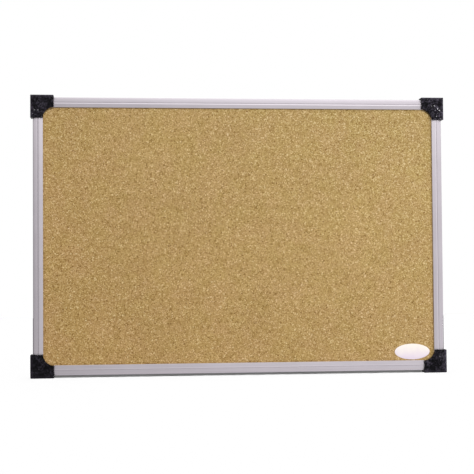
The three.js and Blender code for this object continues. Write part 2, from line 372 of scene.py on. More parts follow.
class Paint(Graph):
    """A new material around one Principled shader."""

    def __init__(self, name: str) -> None:
        """Make the material.

        Args:
            name: Its name.
        """
        self.material = bpy.data.materials.new(name)
        self.material.use_nodes = True
        super().__init__(self.material.node_tree)
        self.shader = next(n for n in self.tree.nodes if n.type == "BSDF_PRINCIPLED")

    @cached_property
    def place(self) -> Socket:
        """Give the position on the piece, in metres."""
        return self.node("TexCoord").outputs["Object"]

    @cached_property
    def axes(self) -> tuple[Socket, ...]:
        """Give the position's x, y and z."""
        return self._split("SeparateXYZ", self.place)

    def surface(self, **values: Value) -> None:
        """Link or set the shader's sockets by name; underscores stand for spaces."""
        self.feed(self.shader, values)

    def bump(self, height: Socket, relief: Relief) -> None:
        """Raise the surface by a height, where 1 stands for the relief's depth."""
        node = self.node("Bump", Strength=relief.strength, Distance=relief.depth, Height=height)
        self.surface(Normal=node.outputs[0])


@dataclass(frozen=True)
class Strokes:
    """Noise drawn out into strokes that run in some directions, turned in degrees about y."""

    length: float
    depth: float
    width: float
    turns: tuple[float, ...]
    octaves: float = 2.0

    def strongest(self, g: Paint) -> Socket:
        """Lay the strokes of all directions over each other.

        Args:
            g: The material's graph.

        Returns:
            The strongest stroke at the position, from 0 to 1.
        """
        sizes = (self.length, self.depth, self.width)
        drawn = Lumps(1.0, self.octaves)
        layers = [g.noise(g.stretched(g.place, sizes, turn), drawn) for turn in self.turns]
        return reduce(g.most, layers)


@dataclass(frozen=True)
class Marks:
    """Round marks in the middles of some cells; the radius is a share of a cell."""

    pitch: float
    radius: float
    rarity: float
    colour: Colour
    softness: float = 1.6

    def over(self, g: Paint, place: Socket, colour: Socket) -> Socket:
        """Lay the marks over a colour.

        Args:
            g: The material's graph.
            place: The position.
            colour: The colour underneath.

        Returns:
            The marked colour.
        """
        cells = g.cells(place, self.pitch)
        chosen = g.above(g.channels(cells.outputs["Color"])[2], self.rarity)
        rim = Span(self.radius, self.softness * self.radius, 1.0, 0.0)
        inside = g.spread(cells.outputs["Distance"], rim)
        return g.cover(g.times(inside, chosen), colour, self.colour)


class Finish(ABC):
    """A named finish that makes its own material."""

    name: str

    def material(self) -> bpy.types.Material:
        """Make the material.

        Returns:
            The new material.
        """
        g = Paint(self.name)
        self.paint(g)
        return g.material

    @abstractmethod
    def paint(self, g: Paint) -> None:
        """Lay the finish into a new material."""


@dataclass(frozen=True)
class CorkGranules(Finish):
    """Pressed cork: bent granules in tans, dark bark specks and pale flecks in a binder.

    The first four fields are the limits of the cork that shows between the rails.
    """

    left: float
    right: float
    foot: float
    head: float
    name: str = "cork_granules"
    coarse: float = 2.0 * MM
    fine: float = 1.15 * MM
    bend: float = 0.9
    whole_share: float = 0.2
    tans: Stops = (
        (0.0, tone(136, 107, 58)),
        (0.14, tone(155, 126, 73)),
        (0.45, tone(174, 145, 92)),
        (0.75, tone(186, 157, 103)),
        (0.92, tone(201, 174, 121)),
        (1.0, tone(217, 193, 145)),
    )
    wall_shade: Span = Span(0.0, 0.12, 0.8, 1.0)
    wall_height: Span = Span(0.0, 0.2, 0.0, 0.7)
    grain: Lumps = Lumps(0.4 * MM, 2.0)
    grain_shade: Span = Span(0.25, 0.75, 0.86, 1.1)
    grain_height: float = 0.3
    blotches: Lumps = Lumps(110 * MM)
    blotch_shade: Span = Span(0.3, 0.7, 0.97, 1.03)
    drift: Lumps = Lumps(26 * MM, 2.0)
    olive_to_rosy: Stops = ((0.35, (0.99, 0.989, 0.977, 1.0)), (0.65, (1.01, 0.981, 1.068, 1.0)))
    # Painted light tint: warm in the lower left, cool in the upper right.
    painted_warm_to_cool: Stops = ((0.0, (1.0, 0.95, 0.93, 1.0)), (1.0, (1.0, 1.05, 1.07, 1.0)))
    bark: Marks = Marks(7.0 * MM, 0.13, 0.64, tone(128, 97, 54))
    pith: Marks = Marks(6.0 * MM, 0.12, 0.7, tone(212, 190, 144))
    # Painted shade beside the rails: how much the cork darkens by its distance from the nearest rail.
    painted_rail_shade: Span = Span(0.0, 4.5 * MM, 0.87, 1.0)
    roughness: Span = Span(0.0, 1.0, 0.8, 0.96)
    specular: float = 0.22
    relief: Relief = Relief(0.25 * MM, 0.55)

    def paint(self, g: Paint) -> None:
        """Lay the granules into a new material.

        Args:
            g: The material's graph.
        """
        bent = g.bent(g.place, self.coarse, self.bend * self.fine)
        coarse, unbroken, _ = g.channels(g.cells(bent, self.coarse).outputs["Color"])
        fine, chip, _ = g.channels(g.cells(bent, self.fine).outputs["Color"])
        broken = g.above(unbroken, self.whole_share)
        pick = g.plus(g.times(fine, broken), g.times(coarse, g.minus(1.0, broken)))
        colour = g.ramp(pick, self.tans)

        walls = g.cells(bent, self.fine, CellPart.WALL).outputs["Distance"]
        grain = g.noise(g.place, self.grain)
        colour = g.shade(colour, g.spread(walls, self.wall_shade))
        colour = g.shade(colour, g.spread(grain, self.grain_shade))
        colour = g.shade(colour, g.spread(g.noise(g.place, self.blotches), self.blotch_shade))
        colour = g.tint(colour, g.ramp(g.noise(g.place, self.drift), self.olive_to_rosy))
        # Painted light: a warm tint in the lower left turning cool in the upper right, where the light
        # falls.
        colour = g.tint(colour, g.ramp(self._painted_light_slope(g), self.painted_warm_to_cool))
        for marks in (self.bark, self.pith):
            colour = marks.over(g, bent, colour)
        # Painted shade: the cork darkens within a few millimetres of the rails.
        colour = g.shade(colour, g.spread(self._inset(g), self.painted_rail_shade))

        dull = g.spread(chip, self.roughness)
        g.surface(Base_Color=colour, Roughness=dull, Specular_IOR_Level=self.specular)
        height = g.plus(g.spread(walls, self.wall_height), g.times(grain, self.grain_height))
        g.bump(height, self.relief)

    def _painted_light_slope(self, g: Paint) -> Socket:
        """Give where the painted light tint lies across the cork.

        Args:
            g: The material's graph.

        Returns:
            0 in the lower left corner, rising to 1 in the upper right one.
        """
        x, _, z = g.axes
        across = g.spread(x, Span(self.left, self.right, 0.0, 0.5))
        upright = g.spread(z, Span(self.foot, self.head, 0.0, 0.5))
        return g.plus(across, upright)

    def _inset(self, g: Paint) -> Socket:
        """Give the distance from the nearest rail.

        Args:
            g: The material's graph.

        Returns:
            The distance.
        """
        x, _, z = g.axes
        across = g.least(g.minus(x, self.left), g.minus(self.right, x))
        upright = g.least(g.minus(z, self.foot), g.minus(self.head, z))
        return g.least(across, upright)


@dataclass(frozen=True)
class DrawnAluminium(Finish):
    """Matte anodised aluminium with die lines along the rail and a shoulder beside its groove.

    The groove lies that far from the board's middle and is darkened by painted shade. A painted
    highlight runs along the shoulder; its core and reach are shares of the shoulder's width.
    """

    name: str
    run: Run
    groove: float
    front: float
    groove_shading: float
    shades: Stops = ((0.3, tone(202, 195, 202)), (0.7, tone(218, 211, 218)))
    line_length: float = 90 * MM
    line_width: float = 0.18 * MM
    line_depth: float = 0.007 * MM
    lines: Lumps = Lumps(1.0, 4.0, 0.6)
    line_roughness: Span = Span(0.3, 0.7, 0.36, 0.46)
    smudges: Lumps = Lumps(30 * MM)
    smudge_shade: Span = Span(0.3, 0.7, 0.96, 1.02)
    smudge_roughness: Span = Span(0.4, 0.7, -0.02, 0.04)
    # Painted shade in the groove: its colour, core, reach and patches.
    dust: Colour = tone(92, 84, 88)
    groove_shade_core: float = 0.4 * MM
    groove_shade_reach: float = 0.8 * MM
    groove_shade_patches: Span = Span(0.3, 0.7, 0.6, 1.0)
    # Painted highlight along the shoulder beside the groove: its colour, strength, core and reach.
    shoulder_highlight: Colour = tone(246, 240, 246)
    highlight_share: float = 0.4
    highlight_core: float = 0.3
    highlight_reach: float = 0.6
    groove_half: float = 0.3 * MM
    shoulder: float = 1.5 * MM
    shoulder_rise: float = 0.45 * MM
    lip: float = 2.0 * MM

    def paint(self, g: Paint) -> None:
        """Lay the drawn metal into a new material.

        Args:
            g: The material's graph.
        """
        drawn = g.stretched(g.place, self.run.sizes(self.line_length, self.line_width))
        lines = g.noise(drawn, self.lines)
        smudges = g.noise(g.place, self.smudges)
        x, y, z = g.axes
        faced = g.spread(y, Span(self.front + self.lip, self.front + 2 * self.lip, 1.0, 0.0))
        inward = g.minus(self.groove, g.unsigned(z if self.run is Run.ACROSS else x))

        colour = g.shade(g.ramp(lines, self.shades), g.spread(smudges, self.smudge_shade))
        # Painted shade: the groove darkens, patchy along the rail and more on some rails than others.
        beside = g.spread(g.unsigned(inward), Span(self.groove_shade_core, self.groove_shade_reach, self.groove_shading, 0.0))
        dust = g.times(beside, g.spread(smudges, self.groove_shade_patches))
        colour = g.cover(g.times(dust, faced), colour, self.dust)
        # Painted highlight along the crest of the shoulder beside the groove.
        crest = self.groove_half + self.shoulder / 2
        core, reach = self.highlight_core * self.shoulder, self.highlight_reach * self.shoulder
        off_crest = g.unsigned(g.minus(inward, crest))
        rubbed = g.spread(off_crest, Span(core, reach, self.highlight_share, 0.0))
        colour = g.cover(g.times(rubbed, faced), colour, self.shoulder_highlight)

        dull = g.plus(g.spread(lines, self.line_roughness), g.spread(smudges, self.smudge_roughness))
        g.surface(Base_Color=colour, Roughness=dull, Metallic=1.0)
        slope = Span(self.groove_half, self.groove_half + self.shoulder, 0.0, self.shoulder_rise)
        raised = g.times(g.spread(inward, slope), faced)
        g.bump(g.plus(g.times(lines, self.line_depth), raised), Relief())


@dataclass(frozen=True)
class MouldedBlack(Finish):
    """Black moulded plastic: spark-eroded skin, rubbed outer edges, short scuffs and knocks.

    The halves and the front are the limits of all the caps together, and the edge's core is a
    share of its width.
    """

    name: str
    wear: float
    half_width: float
    half_height: float
    front: float
    base: Colour = tone(5, 5, 6)
    rubbed: Colour = tone(100, 94, 109)
    scuffed: Colour = tone(220, 218, 224)
    skin: Lumps = Lumps(0.35 * MM, 2.0)
    skin_roughness: Span = Span(0.3, 0.7, 0.4, 0.56)
    specular: float = 0.06
    relief: Relief = Relief(0.05 * MM, 0.35)
    patches: Lumps = Lumps(8 * MM)
    patch_film: Span = Span(0.4, 0.66, 0.15, 1.0)
    dust: Lumps = Lumps(2.4 * MM, 3.0, 0.7)
    dust_film: Span = Span(0.42, 0.68)
    film_share: Worn = Worn(0.24, 0.68)
    edge: float = 4.5 * MM
    edge_core: float = 0.2
    edge_patches: Span = Span(0.3, 0.6, 0.03)
    edge_share: Worn = Worn(0.08, 0.3)
    strokes: Strokes = Strokes(5 * MM, 2.5 * MM, 0.8 * MM, (28.0, -41.0))
    scuff_start: Worn = Worn(0.78, -0.08)
    scuff_blur: float = 0.1
    scuff_share: Worn = Worn(0.35, 0.55)
    scuff_depth: float = 0.8
    knocks: Lumps = Lumps(2.6 * MM, 1.0)
    knock_start: Worn = Worn(0.74, -0.09)
    knock_blur: float = 0.05
    knock_share: Worn = Worn(0.1, 1.1)
    grip_below: Span = Span(7 * MM, 13 * MM)
    grip_beside: Span = Span(14 * MM, 19 * MM, 1.0, 0.0)

    def paint(self, g: Paint) -> None:
        """Lay the plastic and its wear into a new material.

        Args:
            g: The material's graph.
        """
        skin = g.noise(g.place, self.skin)
        patches = g.noise(g.place, self.patches)
        dust = g.spread(g.noise(g.place, self.dust), self.dust_film)
        film = g.times(g.spread(patches, self.patch_film), dust)
        colour = g.cover(g.times(film, self.film_share.at(self.wear)), self.base, self.rubbed)
        patchy = replace(self.edge_patches, end=self.edge_share.at(self.wear))
        edges = g.times(self._edges(g), g.spread(patches, patchy))
        colour = g.cover(edges, colour, self.rubbed)
        marks = g.most(self._scuffs(g), self._knocks(g))
        colour = g.cover(marks, colour, self.scuffed)

        dull = g.spread(skin, self.skin_roughness)
        g.surface(Base_Color=colour, Roughness=dull, Specular_IOR_Level=self.specular)
        g.bump(g.minus(skin, g.times(marks, self.scuff_depth)), self.relief)

    def _edges(self, g: Paint) -> Socket:
        """Mask the round edge between the front and the outsides.

        Args:
            g: The material's graph.

        Returns:
            1 on the edge, falling to 0 away from it.
        """
        x, y, z = g.axes
        behind = g.minus(y, self.front)
        fade = Span(self.edge_core * self.edge, self.edge, 1.0, 0.0)
        insets = (g.minus(self.half_width, g.unsigned(x)), g.minus(self.half_height, g.unsigned(z)))
        return g.most(*(g.spread(g.most(inset, behind), fade) for inset in insets))

    def _scuffs(self, g: Paint) -> Socket:
        """Mask short thin scuffs, more of them with wear.

        Args:
            g: The material's graph.

        Returns:
            Up to 1 on a scuff and 0 elsewhere.
        """
        start = self.scuff_start.at(self.wear)
        fade = Span(start, start + self.scuff_blur, 0.0, self.scuff_share.at(self.wear))
        return g.spread(self.strokes.strongest(g), fade)

    def _knocks(self, g: Paint) -> Socket:
        """Mask small knocks where a hand holds the cap; they grow with the square of wear.

        Args:
            g: The material's graph.

        Returns:
            Up to 1 on a knock and 0 elsewhere.
        """
        x, _, z = g.axes
        below = g.minus(self.half_height, g.unsigned(z))
        beside = g.minus(self.half_width, g.unsigned(x))
        gripped = g.times(g.spread(below, self.grip_below), g.spread(beside, self.grip_beside))
        start = self.knock_start.at(self.wear)
        fade = Span(start, start + self.knock_blur, 0.0, self.knock_share.at(self.wear ** 2))
        return g.times(g.spread(g.noise(g.place, self.knocks), fade), gripped)


@dataclass(frozen=True)
class GlossFilm(Finish):
    """Glossy white film of the blank label, a little lilac towards its foot."""

    foot: float
    head: float
    name: str = "gloss_film"
    cream: Colour = tone(235, 228, 221)
    lilac: Colour = tone(215, 202, 216)
    blend: Span = Span(0.2, 0.9)
    ripple: Lumps = Lumps(14 * MM, 2.0)
    ripple_blend: Span = Span(0.3, 0.7, -0.12, 0.12)
    haze: Lumps = Lumps(3 * MM, 2.0)
    haze_roughness: Span = Span(0.3, 0.7, 0.14, 0.24)
    specular: float = 0.5
    coat: float = 0.35
    coat_roughness: float = 0.08
    relief: Relief = Relief(0.12 * MM, 0.4)

    def paint(self, g: Paint) -> None:
        """Lay the film into a new material.

        Args:
            g: The material's graph.
        """
        ripple = g.noise(g.place, self.ripple)
        fall = g.spread(g.axes[2], Span(self.foot, self.head, 1.0, 0.0))
        share = g.spread(g.plus(fall, g.spread(ripple, self.ripple_blend)), self.blend)
        dull = g.spread(g.noise(g.place, self.haze), self.haze_roughness)
        g.surface(Base_Color=g.cover(share, self.cream, self.lilac), Roughness=dull)
        g.surface(Specular_IOR_Level=self.specular)
        g.surface(Coat_Weight=self.coat, Coat_Roughness=self.coat_roughness)
        g.bump(ripple, self.relief)


@dataclass(frozen=True)
class FibreSheet(Finish):
    """Pressed fibre or pulp board, with felted fibres and darker flecks."""

    name: str
    pale: Colour
    deep: Colour
    fleck: Colour
    deep_at: float = 0.45
    pale_at: float = 0.78
    felt: Strokes = Strokes(7 * MM, 5 * MM, 0.5 * MM, (12.0, 63.0, -48.0))
    felt_roughness: Span = Span(0.4, 0.8, 0.8, 0.95)
    clouds: Lumps = Lumps(55 * MM)
    cloud_shade: Span = Span(0.3, 0.7, 0.92, 1.05)
    flecks: Strokes = Strokes(3 * MM, 10 / 3 * MM, 1 * MM, (30.0,), 3.0)
    fleck_share: Span = Span(0.68, 0.76, 0.0, 0.7)
    specular: float = 0.2
    relief: Relief = Relief(0.12 * MM, 0.5)

    def paint(self, g: Paint) -> None:
        """Lay the fibres into a new material.

        Args:
            g: The material's graph.
        """
        felt = self.felt.strongest(g)
        colour = g.ramp(felt, ((self.deep_at, self.deep), (self.pale_at, self.pale)))
        colour = g.shade(colour, g.spread(g.noise(g.place, self.clouds), self.cloud_shade))
        colour = g.cover(g.spread(self.flecks.strongest(g), self.fleck_share), colour, self.fleck)
        dull = g.spread(felt, self.felt_roughness)
        g.surface(Base_Color=colour, Roughness=dull, Specular_IOR_Level=self.specular)
        g.bump(felt, self.relief)


@dataclass(frozen=True)
class ZincSteel(Finish):
    """Zinc-plated steel with soft crystal spangle and handling marks."""

    name: str
    spangle: float
    bend: float = 0.4
    shades: Stops = ((0.2, tone(168, 172, 177)), (0.8, tone(201, 204, 207)))
    crystal_shade: float = 0.6
    crystal_roughness: Span = Span(0.0, 1.0, 0.26, 0.4)
    haze: Lumps = Lumps(2.2 * MM, 4.0)
    haze_shade: float = 0.4
    haze_roughness: Span = Span(0.4, 0.7, 0.0, 0.1)
    relief: Relief = Relief(0.02 * MM, 0.25)

    def paint(self, g: Paint) -> None:
        """Lay the plating into a new material.

        Args:
            g: The material's graph.
        """
        bent = g.bent(g.place, self.spangle, self.bend * self.spangle)
        crystal = g.channels(g.cells(bent, self.spangle).outputs["Color"])[0]
        haze = g.noise(g.place, self.haze)
        shade = g.plus(g.times(crystal, self.crystal_shade), g.times(haze, self.haze_shade))
        dull = g.plus(g.spread(crystal, self.crystal_roughness), g.spread(haze, self.haze_roughness))
        g.surface(Base_Color=g.ramp(shade, self.shades), Roughness=dull, Metallic=1.0)
        g.bump(haze, self.relief)


@dataclass(frozen=True)
class StudioPaper(Finish):
    """Plain pale paper under the board."""

    name: str = "studio_paper"
    shade: Colour = tone(246, 245, 244)
    roughness: float = 0.9
    specular: float = 0.1

    def paint(self, g: Paint) -> None:
        """Lay the paper into a new material."""
        g.surface(Base_Color=self.shade, Roughness=self.roughness, Specular_IOR_Level=self.specular)


@dataclass(frozen=True)
class SoftEdges:
    """Welds a solid's facets, rounds its sharp edges and shades its curves smooth.

    Angles are in degrees: sharp edges are rounded, flat ones vanish, and curves shade smooth.
    """

    width: float
    segments: int = 2
    sharp: float = 32.0
    flat: float = 0.4
    curve: float = 30.0
    weld: float = 0.002 * MM

    def apply(self, piece: bpy.types.Object) -> None:
        """Add the modifiers to a piece.

        Args:
            piece: The piece, whose mesh stays as it is.
        """
        welded = piece.modifiers.new("weld_facets", "NODES")
        welded.node_group = self._weld_group()
        joined = piece.modifiers.new("join_flats", "DECIMATE")
        joined.decimate_type = "DISSOLVE"
        joined.angle_limit = math.radians(self.flat)
        rounded = piece.modifiers.new("round_edges", "BEVEL")
        rounded.width = self.width
        rounded.segments = self.segments
        rounded.limit_method = "ANGLE"
        rounded.angle_limit = math.radians(self.sharp)
        rounded.use_clamp_overlap = True
        shaded = piece.modifiers.new("shade_curves", "NODES")
        shaded.node_group = self._shade_group()

    @staticmethod
    def _row(name: str, *kinds: str) -> tuple[bpy.types.NodeTree, list[bpy.types.Node]]:
        """Make a node group whose nodes stand in a row between one mesh in and one mesh out.

        Args:
            name: The group's name.
            kinds: The kinds of its nodes.

        Returns:
            The group and those nodes.
        """
        group = bpy.data.node_groups.new(name, "GeometryNodeTree")
        for side in ("INPUT", "OUTPUT"):
            group.interface.new_socket("Geometry", in_out=side, socket_type="NodeSocketGeometry")
        row = [group.nodes.new(kind) for kind in ("NodeGroupInput", *kinds, "NodeGroupOutput")]
        for first, second in zip(row, row[1:]):
            group.links.new(first.outputs[0], second.inputs[0])
        return group, row[1:-1]

    def _weld_group(self) -> bpy.types.NodeTree:
        """Get the group that drops stored normals and merges the facets' corners.

        Returns:
            The group, made once for all pieces.
        """
        name = "weld_facets"
        if name in bpy.data.node_groups:
            return bpy.data.node_groups[name]
        kinds = ("GeometryNodeRemoveAttribute", "GeometryNodeMergeByDistance")
        group, (bare, merge) = self._row(name, *kinds)
        bare.inputs["Name"].default_value = "custom_normal"
        merge.inputs["Distance"].default_value = self.weld
        return group

    def _shade_group(self) -> bpy.types.NodeTree:
        """Get the group that shades faces smooth and keeps the edges between flats sharp.

        Returns:
            The group, made once for all pieces.
        """
        name = "shade_curves"
        if name in bpy.data.node_groups:
            return bpy.data.node_groups[name]
        kind = "GeometryNodeSetShadeSmooth"
        group, (faces, edges) = self._row(name, kind, kind)
        faces.domain = "FACE"
        edges.domain = "EDGE"
        edges.inputs["Shade Smooth"].default_value = False
        angle = group.nodes.new("GeometryNodeInputMeshEdgeAngle")
        compare = group.nodes.new("FunctionNodeCompare")
        compare.data_type = "FLOAT"
        compare.operation = "GREATER_THAN"
        group.links.new(angle.outputs[0], compare.inputs[0])
        compare.inputs[1].default_value = math.radians(self.curve)
        group.links.new(compare.outputs[0], edges.inputs["Selection"])
        return group


def dress(node: str, material: bpy.types.Material, edges: SoftEdges | None = None) -> bpy.types.Object:
    """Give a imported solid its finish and, if asked, softened edges.

    Args:
        node: The solid's name.
        material: Its finish.
        edges: How its edges are softened.

    Returns:
        The solid's object.
    """
    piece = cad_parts[node]
    for slot in piece.material_slots:
        slot.material = material
    if edges is not None:
        edges.apply(piece)
    LOG.info("dressed %s with %s", node, material.name)
    return piece


def new_piece(mesh: bpy.types.Mesh, finish: Finish, slot: str, *nodes: str) -> bpy.types.Object:
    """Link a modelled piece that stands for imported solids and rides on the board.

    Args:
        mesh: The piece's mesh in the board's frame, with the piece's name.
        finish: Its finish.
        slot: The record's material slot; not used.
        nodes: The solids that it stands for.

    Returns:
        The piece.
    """
    piece = bpy.data.objects.new(mesh.name, mesh)
    bpy.context.scene.collection.objects.link(piece)
    mesh.materials.append(finish.material())
    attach(piece, BOARD)
    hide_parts(*nodes)
    LOG.info("made %s for %s", piece.name, ", ".join(nodes))
    return piece


@dataclass
class CorkPanel:
    """The laminated panel: granular cork face, fibre core and pulp backing."""

    pitch: float = 1.58 * MM
    jitter: float = 0.38
    relief: float = 0.1 * MM
    relief_power: float = 1.5
    pit_depth: float = 0.2 * MM
    pit_share: float = 0.035
    nip_depth: float = 0.3 * MM
    nip_margin: float = 0.4 * MM
    seed: int = 41
    core: FibreSheet = FibreSheet(
        "fibre_core", tone(176, 150, 112), tone(136, 110, 76), tone(92, 70, 44)
    )
    pulp: FibreSheet = FibreSheet(
        "pulp_backing", tone(176, 166, 150), tone(146, 135, 119), tone(104, 92, 78)
    )

    def build(self) -> list[bpy.types.Object]:
        """Make the cork face and dress the layers behind it.

        Returns:
            The three layers.
        """
        granules = CorkGranules(*self._opening())
        face = new_piece(self._face_mesh(), granules, "cork", "cork_sheet")
        core = dress("core_board", self.core.material())
        return [face, core, dress("backing_sheet", self.pulp.material())]

    @staticmethod
    def _opening() -> tuple[float, float, float, float]:
        """Find the cork that shows between the rails.

        Returns:
            Its left, right, lower and upper limits.
        """
        left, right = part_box("rail_left")[1].x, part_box("rail_right")[0].x
        foot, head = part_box("rail_bottom")[1].z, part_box("rail_top")[0].z
        return (left, right, foot, head)

    def _face_mesh(self) -> bpy.types.Mesh:
        """Make the sheet with a pressed granular front, sunk below the solid's face.

        Returns:
            The closed mesh.
        """
        low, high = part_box("cork_sheet")
        columns = round((high.x - low.x) / self.pitch) + 1
        rows = round((high.z - low.z) / self.pitch) + 1
        draw = np.random.default_rng(self.seed)
        x, z = np.meshgrid(np.linspace(low.x, high.x, columns), np.linspace(low.z, high.z, rows))
        inner = np.zeros_like(x, bool)
        inner[1:-1, 1:-1] = True
        for places in (x, z):
            places[inner] += draw.uniform(-self.jitter, self.jitter, inner.sum()) * self.pitch
        sunk = self.relief * draw.random(x.shape) ** self.relief_power
        sunk += self.pit_depth * (draw.random(x.shape) < self.pit_share)
        sunk += self.nip_depth * self._nipped(x, z)
        front = np.stack([x, low.y + sunk, z], axis=-1).reshape(-1, 3)
        return self._closed_sheet(front, columns, rows, high.y)

    def _nipped(self, x: np.ndarray, z: np.ndarray) -> np.ndarray:
        """Mark the points that the rails' lips press in.

        Args:
            x: The points' x.
            z: The points' z.

        Returns:
            True under the lips, and false where the cork shows.
        """
        left, right, foot, head = self._opening()
        inside = np.minimum(np.minimum(x - left, right - x), np.minimum(z - foot, head - z))
        return inside < self.nip_margin

    @staticmethod
    def _closed_sheet(front: np.ndarray, columns: int, rows: int, back: float) -> bpy.types.Mesh:
        """Close a grid of front points into a sheet with a flat back.

        Args:
            front: The front points, row by row.
            columns: Points in a row.
            rows: Number of rows.
            back: The y of the flat back.

        Returns:
            The mesh.
        """
        index = np.arange(rows * columns).reshape(rows, columns)
        square = (index[:-1, :-1], index[:-1, 1:], index[1:, 1:], index[1:, :-1])
        quads = np.stack(square, axis=-1).reshape(-1, 4)
        rim = np.concatenate([index[0, :-1], index[:-1, -1], index[-1, :0:-1], index[:0:-1, 0]])
        rim_back = len(front) + np.arange(len(rim))
        behind = front[rim].copy()
        behind[:, 1] = back
        walls = np.stack([rim, rim_back, np.roll(rim_back, -1), np.roll(rim, -1)], axis=-1)
        faces = [*quads.tolist(), *walls.tolist(), rim_back[::-1].tolist()]
        mesh = bpy.data.meshes.new("cork_face")
        mesh.from_pydata(np.concatenate([front, behind]).tolist(), [], faces)
        mesh.polygons.foreach_set("use_smooth", [n < len(quads) for n in range(len(faces))])
        mesh.validate()
        return mesh


@dataclass
class RailFrame:
    """The four drawn rails, each with the way it runs and how much painted shade its groove has."""

    rails: tuple[tuple[str, Run, float], ...] = (
        ("rail_top", Run.ACROSS, 0.0),
        ("rail_bottom", Run.ACROSS, 0.1),
        ("rail_left", Run.UPRIGHT, 0.4),
        ("rail_right", Run.UPRIGHT, 0.0),
    )
    edges: SoftEdges = SoftEdges(0.07 * MM, sharp=30.0)
    groove_inset: float = 7.4 * MM

    def build(self) -> list[bpy.types.Object]:
        """Dress the rails, with the die lines along each.

        Returns:
            The rails.
        """
        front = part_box("rail_top")[0].y
        grooves = {
            Run.ACROSS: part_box("rail_top")[1].z - self.groove_inset,
            Run.UPRIGHT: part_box("rail_right")[1].x - self.groove_inset,
        }
        done = []
        for node, run, groove_shading in self.rails:
            metal = DrawnAluminium(f"drawn_aluminium_{node}", run, grooves[run], front, groove_shading)
            done.append(dress(node, metal.material(), self.edges))
        return done


@dataclass
class CornerCaps:
    """The moulded corner caps and the screws in their backs."""

    cap_edges: SoftEdges = SoftEdges(0.3 * MM, segments=3)
    screw_edges: SoftEdges = SoftEdges(0.08 * MM)
    screw_metal: ZincSteel = ZincSteel("zinc_screw", 1.6 * MM)
    screws: tuple[int, ...] = (1, 2)

    def build(self) -> list[bpy.types.Object]:
        """Dress the caps and their screws.

        Returns:
            Each cap, followed by its screws.
        """
        low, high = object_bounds()
        zinc = self.screw_metal.material()
        done = []
        for corner, wear in WEAR.items():
            black = MouldedBlack(f"moulded_black_{corner}", wear, high.x, high.z, low.y).material()
            done.append(dress(f"corner_cap_{corner}", black, self.cap_edges))
            for number in self.screws:
                done.append(dress(f"corner_screw_{corner}_{number}", zinc, self.screw_edges))
        return done


@dataclass
class BlankLabel:
    """The oval film label, blank, domed inside a rim that is a share of its thickness."""

    rings: int = 14
    spokes: int = 96
    rim: float = 0.5
    dome_power: int = 8
    smooth_limit: float = 0.3

    def build(self) -> list[bpy.types.Object]:
        """Make the label.

        Returns:
            The label alone.
        """
        low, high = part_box("label")
        film = GlossFilm(low.z, high.z)
        return [new_piece(self._mesh(low, high), film, "label", "label")]

    def _mesh(self, low: Vector, high: Vector) -> bpy.types.Mesh:
        """Make a shallow domed oval.

        Args:
            low: The solid's lowest corner.
            high: The solid's highest corner.

        Returns:
            The closed mesh.
        """
        middle = (low + high) / 2
        reach = (high - low) / 2
        thick = high.y - low.y
        net = bmesh.new()
        loops = []
        for ring in range(1, self.rings + 1):
            share = math.sin(math.pi / 2 * ring / self.rings)
            lift = thick * (self.rim + (1 - self.rim) * math.sqrt(1 - share ** self.dome_power))
            loops.append(self._loop(net, middle, share * reach.x, share * reach.z, high.y - lift))
        loops.append(self._loop(net, middle, reach.x, reach.z, high.y))
        top = net.verts.new((middle.x, low.y, middle.z))
        for this, after in self._pairs(loops[0]):
            net.faces.new((top, this, after))
        for inner, outer in zip(loops, loops[1:]):
            for (a, b), (c, d) in zip(self._pairs(inner), self._pairs(outer)):
                net.faces.new((a, c, d, b))
        net.faces.new(loops[-1][::-1])
        bmesh.ops.recalc_face_normals(net, faces=net.faces)
        for face in net.faces:
            face.smooth = len(face.verts) < self.spokes and abs(face.normal.y) > self.smooth_limit
        mesh = bpy.data.meshes.new("blank_label")
        net.to_mesh(mesh)
        net.free()
        return mesh

    def _loop(self, net: bmesh.types.BMesh, middle: Vector, wide: float, tall: float, y: float) -> list:
        """Add one oval of corners.

        Args:
            net: The mesh being made.
            middle: The oval's centre.
            wide: Half its width.
            tall: Half its height.
            y: Its depth.

        Returns:
            The corners in order.
        """
        loop = []
        for spoke in range(self.spokes):
            turn = 2 * math.pi * spoke / self.spokes
            x, z = middle.x + wide * math.cos(turn), middle.z + tall * math.sin(turn)
            loop.append(net.verts.new((x, y, z)))
        return loop

    @staticmethod
    def _pairs(loop: list) -> list[tuple]:
        """Pair each corner of a closed loop with the next."""
        return list(zip(loop, loop[1:] + loop[:1]))


@dataclass
class WallHangers:
    """The two sliding keyhole hangers."""

    metal: ZincSteel = ZincSteel("zinc_hanger", 5.0 * MM)
    edges: SoftEdges = SoftEdges(0.14 * MM)

    def build(self) -> list[bpy.types.Object]:
        """Dress both hangers."""
        steel = self.metal.material()
        return [dress(f"hanger_{hand}", steel, self.edges) for hand in ("left", "right")]


class Lit(Enum):
    """What a lamp lights: the board, or the floor that it stands on."""

    BOARD = "EXCLUDE"
    FLOOR = "INCLUDE"


